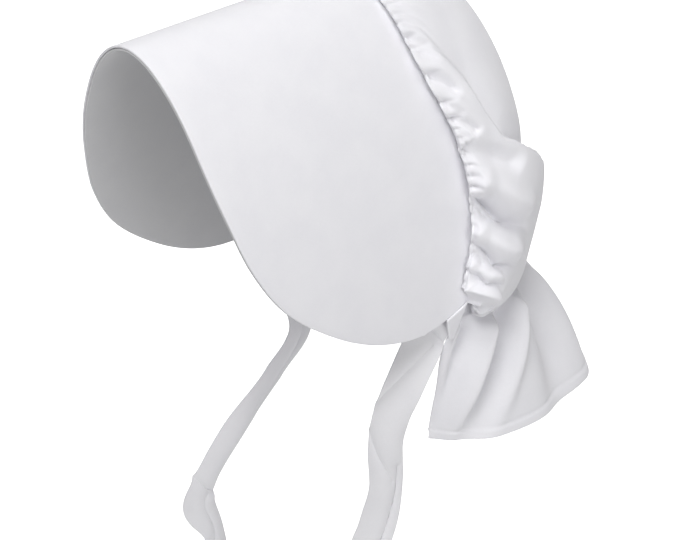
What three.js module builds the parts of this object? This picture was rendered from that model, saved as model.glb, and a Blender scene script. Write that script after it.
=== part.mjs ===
// A white prairie bonnet: a stiff brim of two layers, a gathered crown, a neck curtain and two ties.
// Millimetres, +Z up. The face looks along -Y and the wearer's left is +X.
// The tables are read from a level line at the foot of the brim, and the whole bonnet is then lowered,
// so that the origin is where the top of the head touches the inside of the crown.
import * as THREE from "three";

// Driving dimensions of the brim
const brimHalfWidth = 95;
const brimArchHeight = 300;
const ridgeHeight = 211;
const brimFoot = -8;
const rightFootLift = 4;
const brimTaperPerMm = 0.00019;
const brimThickness = 1.6;
const liningThickness = 1.2;
const clothGap = 0.4;

// The brim's front edge from the ridge (share 0) to the bottom of the lobe (share 1)
const frontEdge = [
  { share: 0, back: -174 },
  { share: 0.1, back: -169 },
  { share: 0.2, back: -164 },
  { share: 0.3, back: -156 },
  { share: 0.41, back: -145 },
  { share: 0.54, back: -124 },
  { share: 0.685, back: -89 },
  { share: 1, back: -12 },
];

// The seam where the crown is gathered on, and the brim's short edge below it
const seamLine = [
  { height: -8, back: -12 },
  { height: -5, back: 7 },
  { height: 2, back: 26 },
  { height: 20, back: 32 },
  { height: 60, back: 38 },
  { height: 110, back: 32 },
  { height: 160, back: 16 },
  { height: 211, back: 5 },
];
const seamFoot = 2;

// The crown's dome and the drawn-in line at the nape
const crownThickness = 1.8;
const crownOverlap = 4;
const napeHeight = -6;
const napeHalfWidth = 92;
const napeFront = 29;
const napeCornerRise = 6;
const napeCornerShare = 0.07;
const napeDepth = 103;
const domeFullness = 2.6;
const domeSpread = 0.8;
const domeEnd = 0.88;
const napeRollRadius = 4;
const rollEnd = 0.2;

// The edge of the loose cloth above the side puffs: it lies over the smooth dome behind it
const lip = [
  { u: 0.15, v: 0, height: 1 },
  { u: 0.28, v: 0.02, height: 3 },
  { u: 0.39, v: 0.08, height: 6 },
  { u: 0.48, v: 0.12, height: 8 },
  { u: 0.55, v: 0.2, height: 9 },
  { u: 0.54, v: 0.36, height: 11 },
  { u: 0.49, v: 0.55, height: 13 },
  { u: 0.4, v: 0.72, height: 11 },
  { u: 0.26, v: 0.86, height: 5 },
];
const lipStep = 7;
const lipReach = 55;
const lipSinking = 0.6;
const behindLip = { height: -4, width: 12 };

// Folds and puffs of the crown, each from the seam through a middle place towards the nape
const crownFolds = [
  { startU: 0.24, startV: 0, middleU: 0.28, middleV: 0.02, endU: 0.34, endV: 0.05, width: 4, height: -3 },
  { startU: 0.34, startV: 0, middleU: 0.4, middleV: 0.03, endU: 0.46, endV: 0.08, width: 4, height: -3 },
  { startU: 0.47, startV: 0, middleU: 0.51, middleV: 0.05, endU: 0.56, endV: 0.14, width: 5, height: -3 },
  { startU: 0.57, startV: 0, middleU: 0.6, middleV: 0.09, endU: 0.63, endV: 0.36, width: 7, height: -4 },
  { startU: 0.63, startV: 0, middleU: 0.67, middleV: 0.2, endU: 0.62, endV: 0.6, width: 9, height: 3 },
  { startU: 0.7, startV: 0, middleU: 0.745, middleV: 0.25, endU: 0.66, endV: 0.78, width: 8, height: -12 },
  { startU: 0.76, startV: 0, middleU: 0.81, middleV: 0.25, endU: 0.72, endV: 0.8, width: 9, height: 4 },
  { startU: 0.83, startV: 0, middleU: 0.87, middleV: 0.35, endU: 0.75, endV: 0.86, width: 6, height: -6 },
  { startU: 0.91, startV: 0, middleU: 0.93, middleV: 0.4, endU: 0.85, endV: 0.88, width: 5, height: -5 },
];
const foldEnd = 0.15;
const gatherCount = 16;
const gatherHeight = 1.2;
const gatherReach = 0.1;
const rowCrowding = 1.35;
const gatherSlant = 1;
const cornerShare = 0.06;
const seamRoll = 3;
const seamRollReach = 0.03;

// The rolled edge that stands on the brim along the seam: how far back and how far out each row lies
const rolledEdge = [
  { back: 3, out: 0.5, gathered: 0 },
  { back: -0.5, out: 1.2, gathered: 0.3 },
  { back: -1.5, out: 3.2, gathered: 1 },
];

// The neck curtain, from the gathered nape to its hem
const curtainThickness = 1.4;
const curtainLift = 2;
const curtainRise = 0.4;
const curtainStraight = 10;
const curtainFoot = -98;
const hemMiddle = 78;
const hemBackDepth = 117;
const hemFrontDepth = 131;
const curtainLeft = { halfWidth: 114.5, turn: 124, frontShift: 10, inward: 3.4 };
const curtainRight = { halfWidth: 100, turn: 95, frontShift: 6, inward: 1.2 };
const curtainFlare = 0.6;
const napeLength = 250;
const hemLength = 370;

// Its folds, by their place round the nape and round the hem, with their height at the top, halfway and at the hem
const curtainFolds = [
  { top: 1, hem: 1, width: 9, topHeight: 0, middleHeight: -7, hemHeight: -13 },
  { top: 0.97, hem: 0.99, width: 5, topHeight: 4, middleHeight: 2, hemHeight: 0 },
  { top: 0.8, hem: 0.975, width: 6, topHeight: 5, middleHeight: 7, hemHeight: 2 },
  { top: 0.65, hem: 0.92, width: 8, topHeight: -9, middleHeight: -9, hemHeight: -4 },
  { top: 0.545, hem: 0.885, width: 8, topHeight: 5, middleHeight: 5, hemHeight: 1 },
  { top: 0.36, hem: 0.61, width: 13, topHeight: -9, middleHeight: -10, hemHeight: -3 },
  { top: 0.25, hem: 0.45, width: 12, topHeight: 5, middleHeight: 5, hemHeight: 2 },
  { top: 0.16, hem: 0.29, width: 11, topHeight: -5, middleHeight: -6, hemHeight: -2 },
  { top: 0.08, hem: 0.14, width: 11, topHeight: 4, middleHeight: 4, hemHeight: 1 },
  { top: 0, hem: 0, width: 11, topHeight: -5, middleHeight: -5, hemHeight: -2 },
];
const curtainFoldStart = 0.15;

// How far the curtain's front edges bow forward
const curtainFront = { from: 0.8, bow: 3, height: -36, width: 17 };

// The ties, each by its sections from the brim's corner down: facing is the azimuth that the cloth faces,
// and cup is how far its middle bows towards that side
const tieThickness = 1.2;
const tieLeft = [
  { side: 84.6, back: 3, height: 0, width: 26, facing: 80, cup: 0 },
  { side: 82, back: 2, height: -14, width: 26, facing: 58, cup: 0.5 },
  { side: 80, back: -3, height: -25, width: 26, facing: 50, cup: 1 },
  { side: 78, back: -16, height: -48, width: 25, facing: 48, cup: 2 },
  { side: 76, back: -27, height: -70, width: 24, facing: 56, cup: 3 },
  { side: 74, back: -30, height: -92, width: 23, facing: 64, cup: 4 },
  { side: 73, back: -28, height: -122, width: 23, facing: 66, cup: 4 },
  { side: 70, back: -32, height: -152, width: 25, facing: 56, cup: 3 },
  { side: 66, back: -44, height: -190, width: 26, facing: 46, cup: 2 },
  { side: 63, back: -50, height: -288, width: 26, facing: 46, cup: 1 },
];
const tieRight = [
  { side: -86.9, back: 12, height: 3, width: 24, facing: 90, cup: 0 },
  { side: -83, back: 15, height: -24, width: 26, facing: 98, cup: 1 },
  { side: -66, back: 25, height: -76, width: 25, facing: 100, cup: 3 },
  { side: -64, back: -3, height: -104, width: 24, facing: 98, cup: 4 },
  { side: -66, back: -41, height: -137, width: 24, facing: 90, cup: 4 },
  { side: -68, back: -64, height: -165, width: 24, facing: 92, cup: 4 },
  { side: -70, back: -70, height: -185, width: 25, facing: 80, cup: 4 },
  { side: -68, back: -60, height: -210, width: 24, facing: 110, cup: 3 },
  { side: -66, back: -58, height: -249, width: 26, facing: 96, cup: 1 },
];

// The tapering tab that fills each rear corner below the brim and runs down to the tie
const tabThickness = 1.2;
const tabGap = 0.5;
const tabTop = { front: -4.8, rear: 1.8 };
const tabTip = { side: 89.8, back: 13, height: -21, width: 2.4 };

// A value that passes through three given ones at the start, halfway and at the end
function throughThree(start, middle, end, t) {
  return 2 * (t - 0.5) * (t - 1) * start + 4 * t * (1 - t) * middle + 2 * t * (t - 0.5) * end;
}

// Smooth reading of one column of a table at a place between its rows
function reading(rows, place, column, at) {
  const last = rows.length - 1;
  const x = THREE.MathUtils.clamp(at, rows[0][place], rows[last][place]);
  let i = 0;
  while (i < last - 1 && x > rows[i + 1][place]) i += 1;
  const slope = (k) => {
    const a = rows[Math.max(k - 1, 0)];
    const b = rows[Math.min(k + 1, last)];
    return (b[column] - a[column]) / (b[place] - a[place]);
  };
  const [a, b] = [rows[i], rows[i + 1]];
  const width = b[place] - a[place];
  const t = (x - a[place]) / width;
  const [t2, t3] = [t * t, t * t * t];
  return (2 * t3 - 3 * t2 + 1) * a[column] + (t3 - 2 * t2 + t) * width * slope(i)
    + (3 * t2 - 2 * t3) * b[column] + (t3 - t2) * width * slope(i + 1);
}

// A closed wall from a grid of points: the grid is the outer face, the inner lies a thickness behind it
function cloth(grid, thickness) {
  const rows = grid.length;
  const columns = grid[0].length;
  const at = (i, j) => grid[THREE.MathUtils.clamp(i, 0, rows - 1)][THREE.MathUtils.clamp(j, 0, columns - 1)];
  const points = [];
  for (let i = 0; i < rows; i += 1)
    for (let j = 0; j < columns; j += 1) points.push(at(i, j));
  for (let i = 0; i < rows; i += 1)
    for (let j = 0; j < columns; j += 1) {
      const down = at(i + 1, j).clone().sub(at(i - 1, j));
      const along = at(i, j + 1).clone().sub(at(i, j - 1));
      points.push(at(i, j).clone().addScaledVector(along.cross(down).normalize(), -thickness));
    }
  const inner = rows * columns;
  const faces = [];
  const quad = (a, b, c, d) => faces.push(a, b, c, a, c, d);
  for (let i = 0; i < rows - 1; i += 1)
    for (let j = 0; j < columns - 1; j += 1) {
      const a = i * columns + j;
      const [b, c, d] = [a + columns, a + columns + 1, a + 1];
      quad(a, d, c, b);
      quad(inner + a, inner + b, inner + c, inner + d);
    }
  for (let j = 0; j < columns - 1; j += 1) {
    quad(j, inner + j, inner + j + 1, j + 1);
    const a = (rows - 1) * columns + j;
    quad(a, a + 1, inner + a + 1, inner + a);
  }
  for (let i = 0; i < rows - 1; i += 1) {
    const a = i * columns;
    quad(a, a + columns, inner + a + columns, inner + a);
    const b = a + columns - 1;
    quad(b, inner + b, inner + b + columns, b + columns);
  }
  const geometry = new THREE.BufferGeometry();
  const numbers = points.flatMap((point) => point.toArray());
  geometry.setAttribute("position", new THREE.Float32BufferAttribute(numbers, 3));
  geometry.setIndex(faces);
  return geometry;
}

// The arch of the brim: half an upright ellipse whose middle lies below the foot
const archMiddle = ridgeHeight - brimArchHeight;
const angleAtHeight = (z) => Math.acos((z - archMiddle) / brimArchHeight);

function onArch(angle, back, outward = 0) {
  const spread = 1 + brimTaperPerMm * back;
  const slope = new THREE.Vector2(brimArchHeight * Math.sin(angle), brimHalfWidth * Math.cos(angle)).normalize();
  return new THREE.Vector3(
    brimHalfWidth * spread * Math.sin(angle) + slope.x * outward,
    back,
    archMiddle + brimArchHeight * Math.cos(angle) + slope.y * outward,
  );
}

// The brim's panel as a grid, pushed in from its outer face
function brimGrid(inward, halfColumns, rows) {
  const grid = [];
  for (let i = 0; i <= rows; i += 1) {
    const line = [];
    for (let j = -halfColumns; j <= halfColumns; j += 1) {
      const foot = brimFoot + (j < 0 ? rightFootLift : 0);
      const angle = angleAtHeight(foot) * Math.sin((Math.PI / 2) * (j / halfColumns));
      const height = archMiddle + brimArchHeight * Math.cos(angle);
      const drop = THREE.MathUtils.clamp((ridgeHeight - height) / (ridgeHeight - foot), 0, 1);
      const front = reading(frontEdge, "share", "back", Math.asin(drop) / (Math.PI / 2));
      const rear = reading(seamLine, "height", "back", height + brimFoot - foot)
        + crownOverlap * THREE.MathUtils.smoothstep(height, seamFoot, 3 * crownOverlap);
      line.push(onArch(angle, THREE.MathUtils.lerp(front, rear, i / rows), -inward));
    }
    grid.push(line);
  }
  return grid;
}

// Curves that the crown is hung between, each from the wearer's right to the left
class Seam extends THREE.Curve {
  getPoint(t) {
    const angle = (2 * t - 1) * angleAtHeight(seamFoot);
    const height = archMiddle + brimArchHeight * Math.cos(angle);
    return onArch(angle, reading(seamLine, "height", "back", height));
  }
}

class Nape extends THREE.Curve {
  getPoint(t) {
    const angle = (2 * t - 1) * (Math.PI / 2);
    return new THREE.Vector3(
      napeHalfWidth * Math.sin(angle),
      napeFront + napeDepth * Math.cos(angle),
      napeHeight + napeCornerRise * THREE.MathUtils.smoothstep(Math.abs(2 * t - 1), 1 - napeCornerShare, 1),
    );
  }
}

const seam = new Seam();
const nape = new Nape();
const up = new THREE.Vector3(0, 0, 1);

const inwardAt = (curve, t) => curve.getTangentAt(t).cross(up).normalize();
const rollAt = (u) => napeRollRadius * THREE.MathUtils.smoothstep(1 - Math.abs(u), 0, rollEnd);

// The plain dome: u runs from ear to ear, v from the seam to the nape and then under the puffs
function dome(u, v) {
  const t = (u + 1) / 2;
  const start = seam.getPointAt(t);
  const end = nape.getPointAt(t);
  const turn = Math.min(v / domeEnd, 1) * (Math.PI / 2);
  const power = 2 / domeFullness;
  const middleSide = domeSpread * Math.min(Math.abs(start.x), Math.abs(end.x)) * Math.sign(u);
  const middle = new THREE.Vector3(middleSide, start.y, end.z);
  const point = middle.clone()
    .addScaledVector(start.sub(middle), Math.cos(turn) ** power)
    .addScaledVector(end.sub(middle), Math.sin(turn) ** power);
  const under = Math.max(v - domeEnd, 0) / (1 - domeEnd) * Math.PI;
  const roll = rollAt(u);
  return point.addScaledVector(inwardAt(nape, t), roll * (1 - Math.cos(under)))
    .addScaledVector(up, -roll * Math.sin(under));
}

function domeNormal(u, v) {
  const step = 0.004;
  const across = dome(Math.min(u + step, 1), v).sub(dome(Math.max(u - step, -1), v));
  const back = dome(u, Math.min(v + step, 1)).sub(dome(u, Math.max(v - step, 0)));
  return across.cross(back).normalize();
}

// The nearest place on a path over the dome: how far away, on which side and how far along
function nearest(path, point, u, v) {
  let best = { away: Infinity, side: 1, along: 0 };
  for (let i = 0; i < path.length - 1; i += 1) {
    const [a, b] = [path[i], path[i + 1]];
    const line = b.point.clone().sub(a.point);
    const share = THREE.MathUtils.clamp(point.clone().sub(a.point).dot(line) / line.lengthSq(), 0, 1);
    const away = a.point.clone().addScaledVector(line, share).distanceTo(point);
    if (away < best.away) {
      const side = Math.sign((b.u - a.u) * (v - a.v) - (b.v - a.v) * (u - a.u)) || 1;
      best = { away, side, along: (i + share) / (path.length - 1) };
    }
  }
  return best;
}

function foldPath(fold) {
  const path = [];
  const steps = 10;
  for (let i = 0; i <= steps; i += 1) {
    const t = i / steps;
    const u = throughThree(fold.startU, fold.middleU, fold.endU, t);
    const v = Math.max(throughThree(fold.startV, fold.middleV, fold.endV, t), 0);
    path.push({ u, v, point: dome(u, v) });
  }
  return path;
}

const lipHighest = Math.max(...lip.map((row) => row.height));
const lipPath = lip.map((row) => ({ ...row, point: dome(row.u, row.v) }));
const foldPaths = crownFolds.map((fold) => ({ fold, path: foldPath(fold) }));

// How far the gathered cloth stands off the plain dome
function crownHeight(u, v) {
  const side = Math.abs(u);
  const point = dome(side, v);
  const reach = 1 - THREE.MathUtils.smoothstep(v, 0, gatherReach);
  const gathers = gatherHeight * Math.cos(2 * Math.PI * gatherCount * (side - gatherSlant * v)) * reach;
  const roll = seamRoll * THREE.MathUtils.smoothstep(v, 0, seamRollReach)
    * (1 - THREE.MathUtils.smoothstep(v, seamRollReach, 5 * seamRollReach));
  const near = nearest(lipPath, point, side, v);
  const place = near.along * (lip.length - 1);
  const row = Math.min(Math.floor(place), lip.length - 2);
  const lipHeight = THREE.MathUtils.lerp(lip[row].height, lip[row + 1].height, place - row);
  const inFront = near.away * -near.side;
  const step = THREE.MathUtils.smoothstep(inFront, -lipStep, 0);
  const sinking = 1 - lipSinking * THREE.MathUtils.smoothstep(inFront, 0, lipReach);
  const hollow = inFront < 0 ? Math.exp(-(((inFront + lipStep) / behindLip.width) ** 2)) : 0;
  let height = gathers + roll + lipHeight * step * sinking + (lipHeight / lipHighest) * behindLip.height * hollow;
  for (const { fold, path } of foldPaths) {
    const found = nearest(path, point, side, v);
    const rising = THREE.MathUtils.smoothstep(found.along, 0, foldEnd);
    const falling = THREE.MathUtils.smoothstep(1 - found.along, 0, foldEnd);
    height += fold.height * rising * falling * Math.exp(-((found.away / fold.width) ** 2));
  }
  const hold = 1 - THREE.MathUtils.smoothstep(v, domeEnd, 1);
  const corner = THREE.MathUtils.smoothstep(1 - side, 0, cornerShare);
  return height * hold * corner;
}

function crownGrid(columns, rows) {
  const grid = [];
  const clear = rolledEdge[0].out + 2 * crownThickness;
  for (let i = -rolledEdge.length; i <= rows; i += 1) {
    const line = [];
    const edge = rolledEdge[i + rolledEdge.length];
    for (let j = 0; j <= columns; j += 1) {
      const u = -1 + (2 * j) / columns;
      const v = (Math.max(i, 0) / rows) ** rowCrowding;
      const height = crownHeight(u, v);
      const tucked = THREE.MathUtils.smoothstep(v, domeEnd, 1);
      const off = edge ? edge.out + edge.gathered * height : clear * (1 - tucked) + height;
      const point = dome(u, v).addScaledVector(domeNormal(u, v), off);
      point.y += edge ? edge.back : 0;
      line.push(point);
    }
    grid.push(line);
  }
  return grid;
}

// The neck curtain hangs from inside the crown's roll and flares to its hem
function curtainGrid(columns, rows) {
  const grid = [];
  for (let i = 0; i <= rows; i += 1) {
    const line = [];
    const h = (i / rows) ** rowCrowding;
    for (let j = 0; j <= columns; j += 1) {
      const w = -1 + (2 * j) / columns;
      const t = (w + 1) / 2;
      const inFront = THREE.MathUtils.smoothstep(Math.abs(w), curtainFront.from, 1);
      const top = nape.getPointAt(t);
      const topHeight = napeHeight + curtainLift + curtainRise * (top.z - napeHeight);
      const z = THREE.MathUtils.lerp(topHeight, curtainFoot, h);
      const straightEnd = topHeight - curtainStraight;
      const below = Math.max(straightEnd - z, 0) / (straightEnd - curtainFoot);
      const flare = below ** curtainFlare;
      const side = w < 0 ? curtainRight : curtainLeft;
      top.addScaledVector(inwardAt(nape, t), 2 * rollAt(w) + clothGap + side.inward * inFront);
      top.y -= side.frontShift * inFront;
      const angle = THREE.MathUtils.degToRad(side.turn * w);
      const depth = Math.cos(angle) < 0 ? hemFrontDepth : hemBackDepth;
      const hem = new THREE.Vector3(side.halfWidth * Math.sin(angle), hemMiddle + depth * Math.cos(angle), 0);
      const point = top.clone().lerp(hem, flare);
      const outward = inwardAt(nape, t).negate();
      let height = 0;
      for (const fold of curtainFolds) {
        const place = THREE.MathUtils.lerp(fold.top, fold.hem, flare);
        const round = (THREE.MathUtils.lerp(napeLength, hemLength, flare) / 2) * (Math.abs(w) - place);
        const size = throughThree(fold.topHeight, fold.middleHeight, fold.hemHeight, flare);
        height += size * Math.exp(-((round / fold.width) ** 2));
      }
      point.addScaledVector(outward, height * THREE.MathUtils.smoothstep(below, 0, curtainFoldStart));
      const bow = Math.exp(-(((z - curtainFront.height) / curtainFront.width) ** 2));
      point.y -= inFront * curtainFront.bow * bow;
      point.z = z;
      line.push(point);
    }
    grid.push(line);
  }
  return grid;
}

// A tie as a grid: rows down its length, columns across its width
function tieGrid(sections, rows, columns) {
  const spine = new THREE.CatmullRomCurve3(
    sections.map((row) => new THREE.Vector3(row.side, row.back, row.height)), false, "centripetal");
  const grid = [];
  for (let i = 0; i <= rows; i += 1) {
    const t = i / rows;
    const place = t * (sections.length - 1);
    const k = Math.min(Math.floor(place), sections.length - 2);
    const mixed = (column) => THREE.MathUtils.lerp(
      sections[k][column], sections[k + 1][column], THREE.MathUtils.smoothstep(place - k, 0, 1));
    const centre = spine.getPoint(t);
    const down = spine.getTangent(t);
    const facing = THREE.MathUtils.degToRad(mixed("facing"));
    const across = new THREE.Vector3(Math.cos(facing), Math.sin(facing), 0);
    across.addScaledVector(down, -across.dot(down)).normalize();
    const out = across.clone().cross(down).normalize().negate();
    const line = [];
    for (let j = 0; j <= columns; j += 1) {
      const share = (2 * j) / columns - 1;
      line.push(centre.clone().addScaledVector(across, (mixed("width") / 2) * share)
        .addScaledVector(out, mixed("cup") * (1 - share * share)));
    }
    grid.push(line);
  }
  return grid;
}

// A corner tab: its top follows the brim's edge, and it narrows to its tip
function tabGrid(side, rows, columns) {
  const lift = side < 0 ? rightFootLift : 0;
  const grid = [];
  for (let i = 0; i <= rows; i += 1) {
    const t = i / rows;
    const line = [];
    for (let j = 0; j <= columns; j += 1) {
      const share = side < 0 ? j / columns : 1 - j / columns;
      const edge = THREE.MathUtils.lerp(tabTop.rear, tabTop.front, share);
      const top = onArch(angleAtHeight(edge + lift * share), reading(seamLine, "height", "back", edge));
      top.z -= tabGap;
      const tip = new THREE.Vector3(tabTip.side, tabTip.back + tabTip.width * (0.5 - share), tabTip.height);
      const point = top.lerp(tip, t);
      point.x *= side;
      line.push(point);
    }
    grid.push(line);
  }
  return grid;
}

const white = (name, color) => new THREE.MeshStandardMaterial({ name, color, roughness: 0.75, metalness: 0 });
const outerCotton = white("outer cotton", 0xf4f3f7);

function piece(name, geometry, material) {
  const mesh = new THREE.Mesh(geometry, material);
  mesh.name = name;
  return mesh;
}

// Where the top of the head touches the inside of the crown
const seat = { back: 27, height: 215.5 };

const bonnet = new THREE.Group();
bonnet.add(
  piece("brim", cloth(brimGrid(0, 24, 3), brimThickness), outerCotton),
  piece("brim_lining", cloth(brimGrid(brimThickness + clothGap, 24, 3), liningThickness), outerCotton),
  piece("crown", cloth(crownGrid(104, 12), crownThickness), outerCotton),
  piece("neck_curtain", cloth(curtainGrid(72, 7), curtainThickness), outerCotton),
  piece("corner_tab_left", cloth(tabGrid(1, 5, 3), tabThickness), outerCotton),
  piece("corner_tab_right", cloth(tabGrid(-1, 5, 3), tabThickness), outerCotton),
  piece("tie_left", cloth(tieGrid(tieLeft, 32, 3), tieThickness), outerCotton),
  piece("tie_right", cloth(tieGrid(tieRight, 32, 3), tieThickness), outerCotton),
);

bonnet.position.set(0, -seat.back, -seat.height);

export default bonnet;
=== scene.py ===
"""The looks of a white prairie bonnet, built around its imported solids."""
import math

import bpy
import numpy as np
from mathutils import Matrix, Vector


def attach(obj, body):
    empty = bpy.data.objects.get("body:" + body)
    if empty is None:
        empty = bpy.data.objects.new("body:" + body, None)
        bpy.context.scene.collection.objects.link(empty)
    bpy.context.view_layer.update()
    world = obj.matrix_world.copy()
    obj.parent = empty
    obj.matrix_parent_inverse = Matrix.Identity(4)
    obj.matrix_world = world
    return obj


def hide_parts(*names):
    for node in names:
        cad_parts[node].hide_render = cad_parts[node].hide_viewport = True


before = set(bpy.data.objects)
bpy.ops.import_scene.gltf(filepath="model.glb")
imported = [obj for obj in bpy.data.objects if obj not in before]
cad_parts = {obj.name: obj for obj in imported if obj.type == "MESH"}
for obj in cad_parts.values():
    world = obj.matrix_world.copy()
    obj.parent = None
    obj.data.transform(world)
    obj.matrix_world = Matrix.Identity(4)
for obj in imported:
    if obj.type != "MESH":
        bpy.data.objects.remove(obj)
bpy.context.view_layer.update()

MM = 0.001

# Lengths are in millimetres from a level line at the foot of the brim, and the head's seat lies here
SEAT_BACK = 27.0
SEAT_HEIGHT = 215.5

# The camera at the photograph's angle, in degrees and millimetres, aimed at that line's middle
AZIMUTH = 46.0
ELEVATION = 27.7
DISTANCE = 1700.0
LENS = 135.0
SENSOR_WIDTH = 36.0
AIM = Vector((0, -SEAT_BACK * MM, -SEAT_HEIGHT * MM))

# The pale room: its brightness below the bonnet, the share of that above, and the slopes where it changes
WORLD_STRENGTH = 0.6
WORLD_ABOVE = 0.15
WORLD_FADE = (-0.3, 0.5)

# The soft square lights: degrees round the bonnet and above it, metres along a side, and watts
LIGHT_DISTANCE = 2.4
LIGHTS = [
    {"name": "key", "azimuth": 34, "elevation": 50, "size": 0.9, "power": 20},
    {"name": "side", "azimuth": 78, "elevation": 12, "size": 1.0, "power": 13},
    {"name": "top", "azimuth": 40, "elevation": 78, "size": 1.0, "power": 22},
    {"name": "back", "azimuth": 225, "elevation": 40, "size": 1.4, "power": 16},
]

# The floor, in metres
FLOOR_REACH = 8.0
FLOOR_HEIGHT = -0.62
FLOOR_COLOR = (0.95, 0.95, 0.95, 1)

# The cotton, with its threads and their relief in metres, and the faint clouding of its white
OUTER_COLOR = (0.86, 0.855, 0.885)
# The lining is the same white cotton, but its colour is set much darker than the outer's: painted shade for
# the inside of the brim
LINING_PAINTED_SHADE_COLOR = (0.63, 0.63, 0.64)
TIE_COLOR = (0.88, 0.875, 0.9)
ROUGHNESS = 0.8
SPECULAR = 0.25
SHEEN = 0.15
SHEEN_ROUGHNESS = 0.5
THREAD = 0.00035
THREAD_STRETCH = 0.12
THREAD_DETAIL = 2.0
THREAD_RANGE = (0.7, 1.3)
THREAD_SHADE = 0.97
RELIEF_STRENGTH = 0.5
RELIEF_DEPTH = 0.00012
CLOUD_SCALE = 45.0
CLOUD_DETAIL = 3.0
CLOUD_RANGE = (0.35, 0.65)
CLOUD_TINT = (0.975, 0.975, 0.98)

# How finely each piece is divided, and in how many steps its edge is rounded
BRIM_CELLS = {"half_columns": 120, "rows": 24}
CROWN_CELLS = {"columns": 480, "rows": 90, "ruffle_rows": 8}
CURTAIN_CELLS = {"columns": 320, "rows": 120}
TAB_CELLS = {"columns": 8, "rows": 16}
TIE_CELLS = {"columns": 40, "rows": 240}
STIFF_EDGE_STEPS = 5
SOFT_EDGE_STEPS = 3
ROW_CROWDING = 1.35
CURVE_POINTS = 201

# The brim
BRIM_HALF_WIDTH = 95.0
BRIM_ARCH_HEIGHT = 300.0
RIDGE_HEIGHT = 211.0
ARCH_MIDDLE = RIDGE_HEIGHT - BRIM_ARCH_HEIGHT
BRIM_FOOT = -8.0
RIGHT_FOOT_LIFT = 4.0
BRIM_TAPER_PER_MM = 0.00019
BRIM_THICKNESS = 1.6
LINING_THICKNESS = 1.2
CLOTH_GAP = 0.4
FRONT_EDGE = {
    "share": [0, 0.1, 0.2, 0.3, 0.41, 0.54, 0.685, 1],
    "back": [-174, -169, -164, -156, -145, -124, -89, -12],
}
SEAM_LINE = {
    "height": [-8, -5, 2, 20, 60, 110, 160, 211],
    "back": [-12, 7, 26, 32, 38, 32, 16, 5],
}
SEAM_FOOT = 2.0
CROWN_OVERLAP = 4.0
FULL_OVERLAP_HEIGHT = 12.0

# The crown: u runs from ear to ear and v from the seam to the nape, and then under the roll
CROWN_THICKNESS = 1.5
NAPE_HEIGHT = -6.0
NAPE_HALF_WIDTH = 92.0
NAPE_FRONT = 29.0
NAPE_CORNER_RISE = 6.0
NAPE_CORNER_SHARE = 0.07
NAPE_DEPTH = 103.0
NAPE_ROLL_RADIUS = 4.0
ROLL_END = 0.1
DOME_FULLNESS = 2.6
DOME_SPREAD = 0.8
DOME_END = 0.88
CROWN_CORNER = 0.045
SEAM_ROLL = 3.0
SEAM_ROLL_REACH = 0.03
SEAM_ROLL_END = 0.15

# The edge of the loose cloth over the side puffs, and how it dips behind that edge
LIP = {
    "u": [0.15, 0.28, 0.39, 0.48, 0.55, 0.54, 0.49, 0.4, 0.26],
    "v": [0, 0.02, 0.08, 0.12, 0.2, 0.36, 0.55, 0.72, 0.86],
    "height": [1, 3, 6, 8, 9, 11, 13, 11, 5],
}
LIP_STEP = 7.0
LIP_REACH = 55.0
LIP_LOSS = 0.6
BEHIND_LIP_HEIGHT = -4.0
BEHIND_LIP_WIDTH = 12.0

# Soft swellings and dents of the crown, each with a path over the dome by u and v, a width and a height
SWELL_FADE_IN = 0.15
SWELL_FADE_OUT = 0.8
SWELLS = [
    {"path": [(0.56, 0), (0.575, 0.02), (0.596, 0.105), (0.604, 0.235), (0.596, 0.35)],
     "width": 6, "height": -6},
    {"path": [(0.65, 0), (0.68, 0.1), (0.695, 0.25), (0.69, 0.38), (0.65, 0.58)],
     "width": 8, "height": 6},
    {"path": [(0.78, 0), (0.81, 0.1), (0.825, 0.25), (0.815, 0.42), (0.75, 0.68)],
     "width": 7, "height": 6},
    {"path": [(0.88, 0.02), (0.905, 0.14), (0.908, 0.3), (0.87, 0.52)],
     "width": 5, "height": 3},
    {"path": [(0.955, 0.02), (0.965, 0.3), (0.93, 0.6)],
     "width": 6, "height": 4},
]

# Creases of the crown, each with its depth and how wide its upper and its lower side are
CREASE_FIRST_DEPTH = 0.35
CREASE_FADE_IN = 0.2
CREASE_FADE_OUT = 0.75
CREASES = [
    {"path": [(0.235, 0), (0.252, 0.006), (0.265, 0.012), (0.285, 0.02), (0.33, 0.023)],
     "depth": 3.5, "upper": 1.2, "lower": 6},
    {"path": [(0.345, 0), (0.365, 0.018), (0.387, 0.03), (0.425, 0.038)],
     "depth": 4.5, "upper": 1.5, "lower": 6},
    {"path": [(0.43, 0), (0.44, 0.005), (0.465, 0.014), (0.48, 0.02)],
     "depth": 3, "upper": 1.2, "lower": 4},
    {"path": [(0.475, 0), (0.485, 0.015), (0.512, 0.046), (0.53, 0.07)],
     "depth": 5, "upper": 1.5, "lower": 5},
    {"path": [(0.71, 0), (0.722, 0.035), (0.742, 0.1), (0.757, 0.2),
              (0.758, 0.32), (0.73, 0.47), (0.67, 0.66)],
     "depth": 17, "upper": 4, "lower": 4},
    {"path": [(0.74, 0), (0.752, 0.045), (0.775, 0.1)],
     "depth": 5, "upper": 1.2, "lower": 3},
    {"path": [(0.835, 0), (0.858, 0.11), (0.873, 0.285), (0.866, 0.42), (0.8, 0.68)],
     "depth": 13, "upper": 3, "lower": 3.5},
    {"path": [(0.86, 0), (0.867, 0.057), (0.902, 0.17)],
     "depth": 4, "upper": 1.2, "lower": 3},
    {"path": [(0.91, 0), (0.928, 0.17), (0.932, 0.3), (0.89, 0.62)],
     "depth": 9, "upper": 2.5, "lower": 3.5},
]

# The ruffle from its free edge to the seam, and how much of the crown's gathers it has
RUFFLE = {
    "share": [0, 0.4, 0.7, 1],
    "back": [3, -0.5, -1.5, 0],
    "out": [0.5, 1.2, 2.9, 3.8],
    "gathered": [0, 0.3, 1, 1],
}
RUFFLE_CORNER = 0.04

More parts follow.
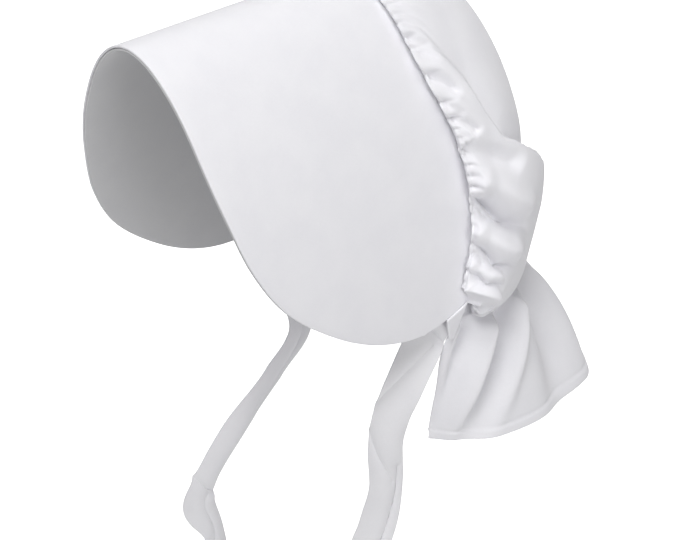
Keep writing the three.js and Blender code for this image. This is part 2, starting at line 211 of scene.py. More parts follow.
# Where the ruffle along the seam is pinched, from the middle of the top to the ear
NOTCHES = [
    0, 0.03, 0.065, 0.095, 0.125, 0.15, 0.178, 0.2, 0.24, 0.272, 0.348, 0.43, 0.48, 0.51, 0.535, 0.56,
    0.585, 0.612, 0.64, 0.67, 0.705, 0.728, 0.755, 0.785, 0.81, 0.832, 0.868, 0.905, 0.935, 0.965, 1,
]

# The scallops between the pinches, outward from the crown and forward over the brim
SCALLOPS = {
    "outward": {"size": 2.4, "level_at": 0.6, "plain_width": 0.03, "widest": 1.5, "loss_at_ear": 0.6},
    "forward": {"size": 3.4, "level_at": 0.3, "plain_width": 0.04, "widest": 1.3, "loss_at_ear": 0.75},
}
SCALLOP_ROUNDNESS = 0.6
SCALLOP_EAR = (0.7, 0.82)
SCALLOP_REACH = 0.07
FORWARD_REACH = 0.03

# How much the scallops slant on their way back, above and below one place on the seam
SLANT_CHANGE = 0.6
SLANT_ABOVE = 1.5
SLANT_BELOW = 0.3
SLANT_START = (0.1, 0.3)

# The neck curtain
CURTAIN_THICKNESS = 1.2
CURTAIN_LIFT = 2.0
CURTAIN_RISE = 0.4
CURTAIN_STRAIGHT = 10.0
CURTAIN_FOOT = -98.0
CURTAIN_FLARE = 0.6
CURTAIN_LEFT = {"half_width": 114.5, "turn": 124.0, "front_shift": 10.0, "inward": 3.4}
CURTAIN_RIGHT = {"half_width": 100.0, "turn": 95.0, "front_shift": 6.0, "inward": 1.2}
CURTAIN_FRONT = {"from": 0.8, "bow": 3.0, "height": -36.0, "width": 17.0}
HEM_MIDDLE = 78.0
HEM_BACK_DEPTH = 117.0
HEM_FRONT_DEPTH = 131.0

# The lengths round the nape and round the hem by which the folds' widths and the gathers are scaled
NAPE_SCALE_LENGTH = 250.0
HEM_SCALE_LENGTH = 370.0

# Its folds, by their place round the nape and round the hem, with their height at three levels
CURTAIN_FOLD_START = 0.15
CURTAIN_FOLDS = [
    {"top": 1, "hem": 1, "width": 9, "heights": (0, -8, -15)},
    {"top": 0.97, "hem": 0.99, "width": 4, "heights": (5, 3, 0)},
    {"top": 0.89, "hem": 0.985, "width": 4, "heights": (-6, -7, -2)},
    {"top": 0.8, "hem": 0.975, "width": 4.5, "heights": (9, 11, 3)},
    {"top": 0.65, "hem": 0.92, "width": 8, "heights": (-12, -13, -6)},
    {"top": 0.545, "hem": 0.885, "width": 6, "heights": (8, 8, 2)},
    {"top": 0.36, "hem": 0.61, "width": 14, "heights": (-14, -16, -5)},
    {"top": 0.25, "hem": 0.45, "width": 10, "heights": (7, 7, 3)},
    {"top": 0.16, "hem": 0.29, "width": 11, "heights": (-5, -6, -2)},
    {"top": 0.08, "hem": 0.14, "width": 11, "heights": (4, 4, 1)},
    {"top": 0, "hem": 0, "width": 11, "heights": (-5, -5, -2)},
]

# The hem's second layer with its stitched groove, and the small gathers under the crown's roll
HEM_WIDTH = 6.0
HEM_STEP = 0.9
HEM_SLOPE = 0.6
HEM_GROOVE = 0.8
HEM_GROOVE_WIDTH = 1.1
GATHER_SPACING = 8.0
GATHER_DEPTH = 1.1
GATHER_FADE = 22.0

# The corner tabs
TAB_THICKNESS = 1.6
TAB_GAP = 0.1
TAB_TOP_FRONT = -4.8
TAB_TOP_REAR = 1.8
TAB_TIP = {"side": 89.8, "back": 13.0, "height": -21.0, "width": 2.4}

# The ties, a row for each section: its middle, its width, the degrees it faces and how much it is cupped
TIE_THICKNESS = 1.0
TIE_COLUMNS = ("side", "back", "height", "width", "facing", "cup")
TIE_LEFT = [
    (84.6, 3, 0, 26, 80, 0),
    (82, 2, -14, 26, 58, 0.5),
    (80, -3, -25, 26, 50, 1),
    (78, -16, -48, 25, 48, 2),
    (76, -27, -70, 24, 56, 3),
    (74, -30, -92, 23, 64, 4),
    (73, -28, -122, 23, 66, 4),
    (70, -32, -152, 25, 56, 3),
    (66, -44, -190, 26, 46, 2),
    (63, -50, -288, 26, 46, 1),
]
TIE_RIGHT = [
    (-86.9, 12, 3, 24, 90, 0),
    (-83, 15, -24, 26, 98, 1),
    (-66, 25, -76, 25, 100, 3),
    (-64, -3, -104, 24, 98, 4),
    (-66, -41, -137, 24, 90, 4),
    (-68, -64, -165, 24, 92, 4),
    (-70, -70, -185, 25, 80, 4),
    (-68, -60, -210, 24, 110, 3),
    (-66, -58, -249, 26, 96, 1),
]

# Creases of the ties: how far down and how far across each starts and ends
CREASES_LEFT = [
    {"start": (24, 6), "end": (74, -13), "depth": 2, "width": 3},
    {"start": (10, -13), "end": (20, 13), "depth": 5, "width": 3.5},
    {"start": (118, 7), "end": (215, 4), "depth": 3, "width": 3},
    {"start": (88, -12), "end": (128, 3), "depth": 2, "width": 3},
]
CREASES_RIGHT = [
    {"start": (30, -3), "end": (150, 6), "depth": 3, "width": 4},
    {"start": (212, -12), "end": (224, 12), "depth": 2.5, "width": 3},
    {"start": (226, 4), "end": (280, -4), "depth": 2, "width": 3},
]


def smoothstep(x, low, high):
    """0 up to one value, 1 from another, and a smooth rise between them."""
    t = np.clip((np.asarray(x, float) - low) / (high - low), 0, 1)
    return t * t * (3 - 2 * t)


def unit(vectors):
    return vectors / np.maximum(np.linalg.norm(vectors, axis=-1, keepdims=True), 1e-9)


def hermite(t, start, end, leave, arrive):
    """A cubic from one value to another that leaves and arrives with the given slopes."""
    return ((2 * t**3 - 3 * t**2 + 1) * start + (t**3 - 2 * t**2 + t) * leave
            + (3 * t**2 - 2 * t**3) * end + (t**3 - t**2) * arrive)


def reading(table, place, column, at):
    """Smooth reading of one column of a table between its rows."""
    x = np.array(table[place], float)
    y = np.array(table[column], float)
    last = len(x) - 1
    rows = np.arange(last + 1)
    before = np.maximum(rows - 1, 0)
    after = np.minimum(rows + 1, last)
    slope = (y[after] - y[before]) / (x[after] - x[before])
    at = np.clip(at, x[0], x[-1])
    i = np.clip(np.searchsorted(x, at, side="left") - 1, 0, last - 1)
    width = x[i + 1] - x[i]
    return hermite((at - x[i]) / width, y[i], y[i + 1], width * slope[i], width * slope[i + 1])


def through_three(values, t):
    """A value that passes through three given ones at the start, halfway and at the end."""
    start, middle, end = values
    return 2 * (t - 0.5) * (t - 1) * start + 4 * t * (1 - t) * middle + 2 * t * (t - 0.5) * end


class Curve:
    """A curve read by its arc length, as the part's source reads it."""

    def __init__(self, point):
        self.point = point
        self.places = np.linspace(0, 1, CURVE_POINTS)
        steps = np.linalg.norm(np.diff(point(self.places), axis=0), axis=1)
        self.lengths = np.concatenate([[0], np.cumsum(steps)])

    def place(self, t):
        return np.interp(t * self.lengths[-1], self.lengths, self.places)

    def at(self, t):
        return self.point(self.place(t))

    def inward(self, t):
        place = self.place(t)
        step = 1e-4
        along = unit(self.point(np.clip(place + step, 0, 1)) - self.point(np.clip(place - step, 0, 1)))
        return unit(np.cross(along, [0.0, 0.0, 1.0]))


# The brim and its lining


def angle_at_height(z):
    return np.arccos((z - ARCH_MIDDLE) / BRIM_ARCH_HEIGHT)


def on_arch(angle, back, outward=0.0):
    """Points on the brim's arch, or a distance outside it."""
    spread = 1 + BRIM_TAPER_PER_MM * back
    slope = unit(np.stack([BRIM_ARCH_HEIGHT * np.sin(angle), BRIM_HALF_WIDTH * np.cos(angle)], -1))
    return np.stack([
        BRIM_HALF_WIDTH * spread * np.sin(angle) + slope[..., 0] * outward,
        back + 0 * angle,
        ARCH_MIDDLE + BRIM_ARCH_HEIGHT * np.cos(angle) + slope[..., 1] * outward,
    ], -1)


def brim_grid(inward, half_columns, rows):
    """The outer face of the brim, or of the lining that lies inside it."""
    j = np.arange(-half_columns, half_columns + 1)
    foot = BRIM_FOOT + np.where(j < 0, RIGHT_FOOT_LIFT, 0)
    angle = angle_at_height(foot) * np.sin(math.pi / 2 * j / half_columns)
    height = ARCH_MIDDLE + BRIM_ARCH_HEIGHT * np.cos(angle)
    drop = np.clip((RIDGE_HEIGHT - height) / (RIDGE_HEIGHT - foot), 0, 1)
    front = reading(FRONT_EDGE, "share", "back", np.arcsin(drop) / (math.pi / 2))
    rear = reading(SEAM_LINE, "height", "back", height + BRIM_FOOT - foot)
    rear = rear + CROWN_OVERLAP * smoothstep(height, SEAM_FOOT, FULL_OVERLAP_HEIGHT)
    share = np.arange(rows + 1)[:, None] / rows
    back = front + (rear - front) * share
    return on_arch(np.broadcast_to(angle, back.shape), back, -inward)


# The crown


def seam_point(t):
    angle = (2 * t - 1) * angle_at_height(SEAM_FOOT)
    height = ARCH_MIDDLE + BRIM_ARCH_HEIGHT * np.cos(angle)
    return on_arch(angle, reading(SEAM_LINE, "height", "back", height))


def nape_point(t):
    angle = (2 * t - 1) * math.pi / 2
    rise = NAPE_CORNER_RISE * smoothstep(np.abs(2 * t - 1), 1 - NAPE_CORNER_SHARE, 1)
    return np.stack([
        NAPE_HALF_WIDTH * np.sin(angle),
        NAPE_FRONT + NAPE_DEPTH * np.cos(angle),
        NAPE_HEIGHT + rise,
    ], -1)


SEAM = Curve(seam_point)
NAPE = Curve(nape_point)


def roll_at(u):
    """The radius of the roll at the nape, which runs out at its two ends."""
    return NAPE_ROLL_RADIUS * smoothstep(1 - np.abs(u), 0, ROLL_END)


def dome(u, v):
    """The plain dome and the roll that ends it at the nape."""
    u, v = np.broadcast_arrays(np.asarray(u, float), np.asarray(v, float))
    t = (u + 1) / 2
    start = SEAM.at(t)
    end = NAPE.at(t)
    turn = np.minimum(v / DOME_END, 1) * math.pi / 2
    power = 2 / DOME_FULLNESS
    side = DOME_SPREAD * np.minimum(np.abs(start[..., 0]), np.abs(end[..., 0])) * np.sign(u)
    middle = np.stack([side, start[..., 1], end[..., 2]], -1)
    point = middle + (start - middle) * (np.abs(np.cos(turn)) ** power)[..., None]
    point = point + (end - middle) * (np.sin(turn) ** power)[..., None]
    under = np.maximum(v - DOME_END, 0) / (1 - DOME_END) * math.pi
    roll = roll_at(u)
    point = point + NAPE.inward(t) * (roll * (1 - np.cos(under)))[..., None]
    point[..., 2] -= roll * np.sin(under)
    return point


def dome_normal(u, v):
    """The way straight out of the dome."""
    step = 0.004
    across = dome(np.minimum(u + step, 1), v) - dome(np.maximum(u - step, -1), v)
    back = dome(u, np.minimum(v + step, 1)) - dome(u, np.maximum(v - step, 0))
    return unit(np.cross(across, back))


def smooth_path(points, steps=8):
    """A path through a few places, rounded between them."""
    p = np.array([points[0], *points, points[-1]], float)
    parts = []
    for k in range(1, len(p) - 2):
        t = np.arange(steps)[:, None] / steps
        a, b, c, d = p[k - 1], p[k], p[k + 1], p[k + 2]
        parts.append(hermite(t, b, c, (c - a) / 2, (d - b) / 2))
    parts.append(p[-1:])
    path = np.concatenate(parts)
    path[:, 1] = np.maximum(path[:, 1], 0)
    return path


def nearest(path, points, u, v):
    """How far each point is from a path over the dome, on which side of it and how far along."""
    places = dome(path[:, 0], path[:, 1])
    away = np.full(u.shape, np.inf)
    side = np.ones(u.shape)
    along = np.zeros(u.shape)
    for i in range(len(path) - 1):
        line = places[i + 1] - places[i]
        share = np.clip(((points - places[i]) @ line) / (line @ line), 0, 1)
        gap = np.linalg.norm(points - places[i] - share[..., None] * line, axis=-1)
        du, dv = path[i + 1] - path[i]
        turn = np.sign(du * (v - path[i, 1]) - dv * (u - path[i, 0]))
        closer = gap < away
        away = np.where(closer, gap, away)
        side = np.where(closer, np.where(turn == 0, 1, turn), side)
        along = np.where(closer, (i + share) / (len(path) - 1), along)
    return away, side, along


def scallop(place):
    """0 where the ruffle is pinched and 1 in a scallop's middle, and how wide the scallop is."""
    notches = np.array(NOTCHES)
    k = np.clip(np.searchsorted(notches, place, side="right") - 1, 0, len(notches) - 2)
    width = notches[k + 1] - notches[k]
    s = np.clip((place - notches[k]) / width, 0, 1)
    return (4 * s * (1 - s)) ** SCALLOP_ROUNDNESS, width


def scallop_size(way, place, side):
    """How far a scallop stands out one way, which is less near the ear."""
    row = SCALLOPS[way]
    fullness, width = scallop(place)
    size = row["size"] * (fullness - row["level_at"]) * np.minimum(width / row["plain_width"], row["widest"])
    return size * (1 - row["loss_at_ear"] * smoothstep(side, *SCALLOP_EAR))


def lip_height(points, side, v):
    """The loose cloth over the puffs, which stands off in front of its edge and dips behind it."""
    path = np.stack([LIP["u"], LIP["v"]], -1).astype(float)
    away, turned, along = nearest(path, points, side, v)
    edge = np.interp(along * (len(path) - 1), np.arange(len(path)), LIP["height"])
    in_front = -away * turned
    rise = smoothstep(in_front, -LIP_STEP, 0) * (1 - LIP_LOSS * smoothstep(in_front, 0, LIP_REACH))
    dip = BEHIND_LIP_HEIGHT * np.exp(-((in_front + LIP_STEP) / BEHIND_LIP_WIDTH) ** 2)
    return edge * rise + np.where(in_front < 0, edge / max(LIP["height"]) * dip, 0)


def swell_height(row, points, side, v):
    """How high one swelling is, which fades at both ends of its path."""
    away, _, along = nearest(smooth_path(row["path"]), points, side, v)
    fade = smoothstep(along, 0, SWELL_FADE_IN) * (1 - smoothstep(along, SWELL_FADE_OUT, 1))
    return row["height"] * fade * np.exp(-(away / row["width"]) ** 2)


def crease_depth(row, points, side, v):
    """How deep one crease is, with a steeper and a flatter side."""
    away, turned, along = nearest(smooth_path(row["path"]), points, side, v)
    begun = CREASE_FIRST_DEPTH + (1 - CREASE_FIRST_DEPTH) * smoothstep(along, 0, CREASE_FADE_IN)
    fade = begun * (1 - smoothstep(along, CREASE_FADE_OUT, 1))
    width = np.where(turned > 0, row["upper"], row["lower"])
    return row["depth"] * fade * np.exp(-away / width)


def crown_height(u, v):
    """How far the gathered cloth stands off the plain dome."""
    side = np.abs(u)
    points = dome(side, v)
    slant = np.where(side < SLANT_CHANGE, SLANT_ABOVE, SLANT_BELOW)
    place = np.clip(side - slant * v * smoothstep(side, *SLANT_START), 0, 1)
    height = scallop_size("outward", place, side) * (1 - smoothstep(v, 0, SCALLOP_REACH))
    risen = smoothstep(v, 0, SEAM_ROLL_REACH)
    height = height + SEAM_ROLL * risen * (1 - smoothstep(v, SEAM_ROLL_REACH, SEAM_ROLL_END))
    height = height + lip_height(points, side, v)
    for row in SWELLS:
        height = height + swell_height(row, points, side, v)
    for row in CREASES:
        height = height - crease_depth(row, points, side, v)
    hold = 1 - smoothstep(v, DOME_END, 1)
    return height * hold * smoothstep(1 - side, 0, CROWN_CORNER)


def crown_grid(columns, rows, ruffle_rows):
    """The outer face of the crown: the ruffle's rows, and then the rows from the seam to the nape."""
    u = np.linspace(-1, 1, columns + 1)
    side = np.abs(u)
    lines = []
    for i in range(-ruffle_rows, rows + 1):
        v = np.full(u.shape, (max(i, 0) / rows) ** ROW_CROWDING)
        share = 1 + i / ruffle_rows if i < 0 else 1.0
        gathered = reading(RUFFLE, "share", "gathered", share)
        out = reading(RUFFLE, "share", "out", share)
        back = reading(RUFFLE, "share", "back", share)
        if i >= 0:
            out = out * (1 - smoothstep(v, DOME_END, 1))
        closed = smoothstep(1 - side, 0, CROWN_CORNER)
        off_dome = out * closed + gathered * crown_height(u, v)
        point = dome(u, v) + dome_normal(u, v) * off_dome[..., None]
        forward = scallop_size("forward", side, side) * gathered * (1 - smoothstep(v, 0, FORWARD_REACH))
        point[..., 1] += (back - forward) * smoothstep(1 - side, 0, RUFFLE_CORNER)
        lines.append(point)
    return np.stack(lines)


# The neck curtain


def fold_height(side, flare):
    """The curtain's folds, which spread on the way from the nape to the hem."""
    round_length = NAPE_SCALE_LENGTH + (HEM_SCALE_LENGTH - NAPE_SCALE_LENGTH) * flare
    height = np.zeros(side.shape)
    for fold in CURTAIN_FOLDS:
        place = fold["top"] + (fold["hem"] - fold["top"]) * flare
        away = round_length / 2 * (side - place)
        height += through_three(fold["heights"], flare) * np.exp(-(away / fold["width"]) ** 2)
    return height


def gather_height(side, drop):
    """The small gathers, which fade on their way down."""
    wave = np.cos(math.pi * NAPE_SCALE_LENGTH * side / GATHER_SPACING)
    return GATHER_DEPTH * wave * np.exp(-(drop / GATHER_FADE) ** 2)


def hem_height(above_hem):
    """The hem's second layer, and the groove along its seam."""
    layer = HEM_STEP * (1 - smoothstep(above_hem, HEM_WIDTH - HEM_SLOPE, HEM_WIDTH + HEM_SLOPE))
    return layer - HEM_GROOVE * np.exp(-((above_hem - HEM_WIDTH) / HEM_GROOVE_WIDTH) ** 2)


def curtain_grid(columns, rows):
    """The outer face of the curtain, from inside the crown's roll down to the hem."""
    w = np.linspace(-1, 1, columns + 1)[None, :]
    h = ((np.arange(rows + 1) / rows) ** ROW_CROWDING)[:, None]
    w, h = np.broadcast_arrays(w, h)
    side = np.abs(w)
    t = (w + 1) / 2

    def sided(column):
        return np.where(w < 0, CURTAIN_RIGHT[column], CURTAIN_LEFT[column])

    in_front = smoothstep(side, CURTAIN_FRONT["from"], 1)
    inward = NAPE.inward(t)
    top = NAPE.at(t)
    top_height = NAPE_HEIGHT + CURTAIN_LIFT + CURTAIN_RISE * (top[..., 2] - NAPE_HEIGHT)
    top = top + inward * (2 * roll_at(w) + CLOTH_GAP + sided("inward") * in_front)[..., None]
    top[..., 1] -= sided("front_shift") * in_front
    z = top_height + (CURTAIN_FOOT - top_height) * h
    straight_end = top_height - CURTAIN_STRAIGHT
    below = np.maximum(straight_end - z, 0) / (straight_end - CURTAIN_FOOT)
    flare = below ** CURTAIN_FLARE
    turn = np.radians(sided("turn") * w)
    depth = np.where(np.cos(turn) < 0, HEM_FRONT_DEPTH, HEM_BACK_DEPTH)
    hem = np.stack([sided("half_width") * np.sin(turn), HEM_MIDDLE + depth * np.cos(turn), 0 * w], -1)
    height = fold_height(side, flare) * smoothstep(below, 0, CURTAIN_FOLD_START)
    height = height + gather_height(side, top_height - z) + hem_height(z - CURTAIN_FOOT)
    point = top + (hem - top) * flare[..., None] - inward * height[..., None]
    bow = np.exp(-((z - CURTAIN_FRONT["height"]) / CURTAIN_FRONT["width"]) ** 2)
    point[..., 1] -= in_front * CURTAIN_FRONT["bow"] * bow
    point[..., 2] = z
    return point


# The ties and the corner tabs


def route_curve(points, t):
    """A centripetal curve through points, read evenly from one to the next."""
    last = len(points) - 1
    p = np.concatenate([[2 * points[0] - points[1]], points, [2 * points[-1] - points[-2]]])
    place = np.clip(t, 0, 1) * last
    i = np.minimum(place.astype(int), last - 1)
    a, b, c, d = p[i], p[i + 1], p[i + 2], p[i + 3]

    def gap(x, y):
        return np.maximum(np.linalg.norm(x - y, axis=1, keepdims=True) ** 0.5, 1e-4)

    ab, bc, cd = gap(a, b), gap(b, c), gap(c, d)
    leave = ((b - a) / ab - (c - a) / (ab + bc) + (c - b) / bc) * bc
    arrive = ((c - b) / bc - (d - b) / (bc + cd) + (d - c) / cd) * bc
    return hermite((place - i)[:, None], b, c, leave, arrive)


def tie_creases(creases, length, aside):
    """How deep the creases are at each place of a tie."""
    places = np.stack(np.broadcast_arrays(length, aside), -1)
    depth = np.zeros(places.shape[:2])
    for crease in creases:
        start = np.array(crease["start"], float)
        line = np.array(crease["end"], float) - start
        along = np.clip(((places - start) @ line) / (line @ line), 0, 1)
        away = np.linalg.norm(places - start - along[..., None] * line, axis=-1)
        depth = depth + crease["depth"] * np.exp(-away / crease["width"])
    return depth


def tie_grid(sections, creases, columns, rows):
    """The outer face of a tie: a cupped strip along its route."""
    table = dict(zip(TIE_COLUMNS, np.array(sections, float).T))
    route = np.stack([table["side"], table["back"], table["height"]], -1)
    t = np.linspace(0, 1, rows + 1)
    step = 1e-3
    centre = route_curve(route, t)
    down = unit(route_curve(route, t + step) - route_curve(route, t - step))
    place = t * (len(route) - 1)
    k = np.minimum(place.astype(int), len(route) - 2)
    mix = smoothstep(place - k, 0, 1)

    def between(column):
        values = table[column]
        return values[k] + (values[k + 1] - values[k]) * mix

    facing = np.radians(between("facing"))
    across = np.stack([np.cos(facing), np.sin(facing), 0 * facing], -1)
    across = unit(across - down * (across * down).sum(1, keepdims=True))
    out = -unit(np.cross(across, down))
    share = np.linspace(-1, 1, columns + 1)[None, :]
    steps = np.linalg.norm(np.diff(centre, axis=0), axis=1)
    length = np.concatenate([[0], np.cumsum(steps)])[:, None]
    aside = share * (between("width") / 2)[:, None]
    height = between("cup")[:, None] * (1 - share**2) - tie_creases(creases, length, aside)
    return centre[:, None] + across[:, None] * aside[..., None] + out[:, None] * height[..., None]


def tab_grid(side, columns, rows):
    """The outer face of a corner tab: its top follows the brim's edge, and it narrows to its tip."""
    lift = RIGHT_FOOT_LIFT if side < 0 else 0
    across = np.linspace(0, 1, columns + 1)
    share = across if side < 0 else 1 - across
    edge = TAB_TOP_REAR + (TAB_TOP_FRONT - TAB_TOP_REAR) * share
    top = on_arch(angle_at_height(edge + lift * share), reading(SEAM_LINE, "height", "back", edge))
    top[:, 2] -= TAB_GAP
    tip_back = TAB_TIP["back"] + TAB_TIP["width"] * (0.5 - share)
    tip = np.stack([0 * share + TAB_TIP["side"], tip_back, 0 * share + TAB_TIP["height"]], -1)
    t = np.linspace(0, 1, rows + 1)[:, None, None]
    return (top + (tip - top) * t) * [side, 1, 1]


# Meshes of cloth


def grid_normals(grid):
    """The way straight out of the cloth at each point of its outer face."""
    along = np.gradient(grid, axis=1)
    down = np.gradient(grid, axis=0)
    return unit(np.cross(along, down))


def rim_points(grid, inner, thickness, loop, steps):
    """Rings of points that round the wall's edge, from its outer to its inner face."""
    spread = np.zeros_like(grid)
    spread[0] += unit(grid[0] - grid[1])
    spread[-1] += unit(grid[-1] - grid[-2])
    spread[:, 0] += unit(grid[:, 0] - grid[:, 1])
    spread[:, -1] += unit(grid[:, -1] - grid[:, -2])
    away = unit(spread.reshape(-1, 3)[loop])
    outer_edge = grid.reshape(-1, 3)[loop]
    inner_edge = inner.reshape(-1, 3)[loop]
    middle = (outer_edge + inner_edge) / 2
    half = (outer_edge - inner_edge) / 2
    turns = [math.pi * k / (steps + 1) for k in range(1, steps + 1)]
    return [middle + half * math.cos(turn) + away * (thickness / 2) * math.sin(turn) for turn in turns]


def flat_places(grid):
    """Where each point of a grid lies on the flat cloth, so that its threads keep their size."""
    across = np.cumsum(np.linalg.norm(np.diff(grid, axis=1, prepend=grid[:, :1]), axis=2), axis=1)
    downward = np.cumsum(np.linalg.norm(np.diff(grid, axis=0, prepend=grid[:1]), axis=2), axis=0)
    return np.stack([across.mean(0)[None, :] + 0 * across, downward], -1).reshape(-1, 2)


def cloth_mesh(name, grid, thickness, edge_steps):
    """A closed wall of cloth with a rounded edge: the grid is its outer face."""
    inner = grid - grid_normals(grid) * thickness
    rows, columns = grid.shape[:2]
    count = rows * columns
    index = np.arange(count).reshape(rows, columns)
    a, b, c, d = index[:-1, :-1], index[1:, :-1], index[1:, 1:], index[:-1, 1:]
    faces = [
        np.stack([a, d, c, b], -1).reshape(-1, 4),
        np.stack([a, b, c, d], -1).reshape(-1, 4) + count,
    ]
    loop = np.concatenate([index[0, :-1], index[:-1, -1], index[-1, :0:-1], index[:0:-1, 0]])
    rings = [2 * count + k * len(loop) + np.arange(len(loop)) for k in range(edge_steps)]
    rings = [loop, *rings, loop + count]
    for near, far in zip(rings[:-1], rings[1:]):
        faces.append(np.stack([near, far, np.roll(far, -1), np.roll(near, -1)], -1))
    rim = rim_points(grid, inner, thickness, loop, edge_steps)
    vertices = np.concatenate([grid.reshape(-1, 3), inner.reshape(-1, 3), *rim])
    mesh = bpy.data.meshes.new(name)
    lowered = (vertices - [0, SEAT_BACK, SEAT_HEIGHT]) * MM
    mesh.from_pydata(lowered.tolist(), [], np.concatenate(faces).tolist())
    flat = flat_places(grid)
    uv = np.concatenate([flat, flat, *[flat[loop]] * edge_steps])
    layer = mesh.uv_layers.new(name="cloth")
    corners = np.empty(len(mesh.loops), np.int32)
    mesh.loops.foreach_get("vertex_index", corners)
    layer.data.foreach_set("uv", (uv[corners] * MM).ravel())
    mesh.polygons.foreach_set("use_smooth", np.ones(len(mesh.polygons), bool))
    mesh.update()
    return mesh


def piece(name, node, grid, thickness, material, edge_steps=SOFT_EDGE_STEPS):
    """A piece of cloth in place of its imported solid."""
    thing = bpy.data.objects.new(name, cloth_mesh(name, grid, thickness, edge_steps))
    bpy.context.scene.collection.objects.link(thing)
    thing.data.materials.append(material)
    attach(thing, "root")
    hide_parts(node)
    return thing


# The cotton


def thread_noise(nodes, links, uv, stretch):
    """Noise drawn out along the threads that run one way."""
    mapping = nodes.new("ShaderNodeMapping")
    mapping.inputs["Scale"].default_value = stretch
    links.new(uv.outputs["UV"], mapping.inputs["Vector"])
    noise = nodes.new("ShaderNodeTexNoise")
    noise.inputs["Scale"].default_value = 1.0
    noise.inputs["Detail"].default_value = THREAD_DETAIL
    links.new(mapping.outputs["Vector"], noise.inputs["Vector"])
    return noise


def woven_threads(nodes, links):
    """The threads both ways, laid over each other on the flat cloth."""
    uv = nodes.new("ShaderNodeUVMap")
    uv.uv_map = "cloth"
    fine = 1 / THREAD
    long = THREAD_STRETCH / THREAD
    weave = nodes.new("ShaderNodeMath")
    weave.operation = "ADD"
    for i, stretch in enumerate([(fine, long, 1), (long, fine, 1)]):
        noise = thread_noise(nodes, links, uv, stretch)
        links.new(noise.outputs["Fac"], weave.inputs[i])
    return weave


def clouded_white(nodes, links, color):
    """The cloth's colour with a faint uneven tone."""
    coordinates = nodes.new("ShaderNodeTexCoord")
    cloud = nodes.new("ShaderNodeTexNoise")
    cloud.inputs["Scale"].default_value = CLOUD_SCALE
    cloud.inputs["Detail"].default_value = CLOUD_DETAIL
    links.new(coordinates.outputs["Object"], cloud.inputs["Vector"])
    tone = nodes.new("ShaderNodeValToRGB")
    dull, clear = tone.color_ramp.elements
    dull.position, clear.position = CLOUD_RANGE
    dull.color = (*(value * tint for value, tint in zip(color, CLOUD_TINT)), 1)
    clear.color = (*color, 1)
    links.new(cloud.outputs["Fac"], tone.inputs["Fac"])
    return tone


def cotton(name, color):
    """Plain-woven white cotton: fine threads both ways, a faint clouding and a soft bloom."""
    material = bpy.data.materials.new(name)
    material.use_nodes = True
    nodes = material.node_tree.nodes
    links = material.node_tree.links
    shader = nodes["Principled BSDF"]
    shader.inputs["Roughness"].default_value = ROUGHNESS
    shader.inputs["Specular IOR Level"].default_value = SPECULAR
    shader.inputs["Sheen Weight"].default_value = SHEEN
    shader.inputs["Sheen Roughness"].default_value = SHEEN_ROUGHNESS
    weave = woven_threads(nodes, links)
    threads = nodes.new("ShaderNodeMapRange")
    threads.inputs["From Min"].default_value = THREAD_RANGE[0]
    threads.inputs["From Max"].default_value = THREAD_RANGE[1]
    threads.inputs["To Min"].default_value = THREAD_SHADE
    threads.inputs["To Max"].default_value = 1.0
    links.new(weave.outputs["Value"], threads.inputs["Value"])
    tone = clouded_white(nodes, links, color)
    shade = nodes.new("ShaderNodeMix")
    shade.data_type = "RGBA"
    shade.blend_type = "MULTIPLY"
    shade.inputs["Factor"].default_value = 1.0
    links.new(tone.outputs["Color"], shade.inputs["A"])
    links.new(threads.outputs["Result"], shade.inputs["B"])
    links.new(shade.outputs["Result"], shader.inputs["Base Color"])
    bump = nodes.new("ShaderNodeBump")
    bump.inputs["Strength"].default_value = RELIEF_STRENGTH
    bump.inputs["Distance"].default_value = RELIEF_DEPTH
    links.new(weave.outputs["Value"], bump.inputs["Height"])
    links.new(bump.outputs["Normal"], shader.inputs["Normal"])
    return material


OUTER = cotton("outer_cotton", OUTER_COLOR)
# The lining's cotton takes the darkened colour, which is painted shade inside the brim
LINING_PAINTED_SHADE = cotton("lining_cotton", LINING_PAINTED_SHADE_COLOR)
TIES = cotton("tie_cotton", TIE_COLOR)

# The pieces
brim_face = brim_grid(0, **BRIM_CELLS)
lining_face = brim_grid(BRIM_THICKNESS + CLOTH_GAP, **BRIM_CELLS)
crown_face = crown_grid(**CROWN_CELLS)
curtain_face = curtain_grid(**CURTAIN_CELLS)
tab_face_left = tab_grid(1, **TAB_CELLS)
tab_face_right = tab_grid(-1, **TAB_CELLS)
tie_face_left = tie_grid(TIE_LEFT, CREASES_LEFT, **TIE_CELLS)
tie_face_right = tie_grid(TIE_RIGHT, CREASES_RIGHT, **TIE_CELLS)

brim = piece("brim_cloth", "brim", brim_face, BRIM_THICKNESS, OUTER, STIFF_EDGE_STEPS)
lining = piece("brim_lining_cloth", "brim_lining", lining_face, LINING_THICKNESS, LINING_PAINTED_SHADE, STIFF_EDGE_STEPS)
crown = piece("crown_cloth", "crown", crown_face, CROWN_THICKNESS, OUTER)
curtain = piece("curtain_cloth", "neck_curtain", curtain_face, CURTAIN_THICKNESS, OUTER)
tab_left = piece("tab_cloth_left", "corner_tab_left", tab_face_left, TAB_THICKNESS, OUTER)
tab_right = piece("tab_cloth_right", "corner_tab_right", tab_face_right, TAB_THICKNESS, OUTER)
tie_left = piece("tie_cloth_left", "tie_left", tie_face_left, TIE_THICKNESS, TIES)
tie_right = piece("tie_cloth_right", "tie_right", tie_face_right, TIE_THICKNESS, TIES)

# The stage, the light and the camera


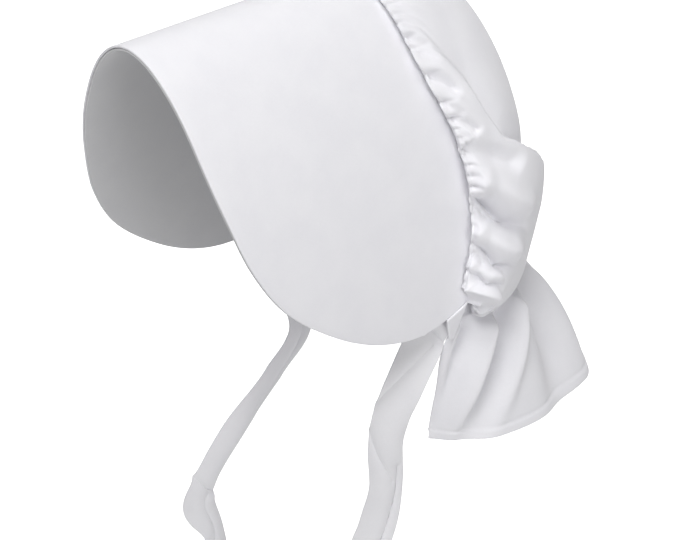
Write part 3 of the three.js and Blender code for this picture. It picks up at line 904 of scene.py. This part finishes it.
def pale_floor():
    """A floor that glows evenly and throws no light or shadow on the bonnet."""
    signs = ((-1, -1), (1, -1), (1, 1), (-1, 1))
    corners = [(x * FLOOR_REACH, y * FLOOR_REACH, FLOOR_HEIGHT) for x, y in signs]
    mesh = bpy.data.meshes.new("floor")
    mesh.from_pydata(corners, [], [(0, 1, 2, 3)])
    floor = bpy.data.objects.new("floor", mesh)
    bpy.context.scene.collection.objects.link(floor)
    material = bpy.data.materials.new("pale_floor")
    material.use_nodes = True
    shader = material.node_tree.nodes["Principled BSDF"]
    shader.inputs["Base Color"].default_value = FLOOR_COLOR
    shader.inputs["Roughness"].default_value = 1.0
    shader.inputs["Specular IOR Level"].default_value = 0.0
    shader.inputs["Emission Color"].default_value = (1, 1, 1, 1)
    shader.inputs["Emission Strength"].default_value = 1.0
    mesh.materials.append(material)
    floor.visible_diffuse = False
    floor.visible_shadow = False
    return floor


def pale_room():
    """A world that is brighter below the bonnet than above it."""
    world = bpy.data.worlds.new("studio")
    bpy.context.scene.world = world
    world.use_nodes = True
    nodes = world.node_tree.nodes
    links = world.node_tree.links
    background = nodes["Background"]
    background.inputs["Strength"].default_value = WORLD_STRENGTH
    sky = nodes.new("ShaderNodeTexCoord")
    split = nodes.new("ShaderNodeSeparateXYZ")
    links.new(sky.outputs["Generated"], split.inputs["Vector"])
    fade = nodes.new("ShaderNodeMapRange")
    fade.inputs["From Min"].default_value = WORLD_FADE[0]
    fade.inputs["From Max"].default_value = WORLD_FADE[1]
    fade.inputs["To Min"].default_value = 1.0
    fade.inputs["To Max"].default_value = WORLD_ABOVE
    links.new(split.outputs["Z"], fade.inputs["Value"])
    links.new(fade.outputs["Result"], background.inputs["Color"])


def aimed(name, data, azimuth, elevation, distance):
    """A light or a camera that looks at the bonnet from a distance in metres."""
    a = math.radians(azimuth)
    e = math.radians(elevation)
    away = Vector((math.sin(a) * math.cos(e), -math.cos(a) * math.cos(e), math.sin(e)))
    thing = bpy.data.objects.new(name, data)
    bpy.context.scene.collection.objects.link(thing)
    turned = away.to_track_quat("Z", "Y").to_matrix().to_4x4()
    thing.matrix_world = Matrix.Translation(AIM + away * distance) @ turned
    return thing


floor = pale_floor()
pale_room()

for row in LIGHTS:
    light = bpy.data.lights.new(row["name"], "AREA")
    light.shape = "SQUARE"
    light.size = row["size"]
    light.energy = row["power"]
    aimed(row["name"], light, row["azimuth"], row["elevation"], LIGHT_DISTANCE)

camera_data = bpy.data.cameras.new("camera")
camera_data.sensor_width = SENSOR_WIDTH
camera_data.lens = LENS
bpy.context.scene.camera = aimed("camera", camera_data, AZIMUTH, ELEVATION, DISTANCE * MM)
bpy.context.scene.view_settings.view_transform = "Standard"
bpy.context.scene.view_settings.look = "None"
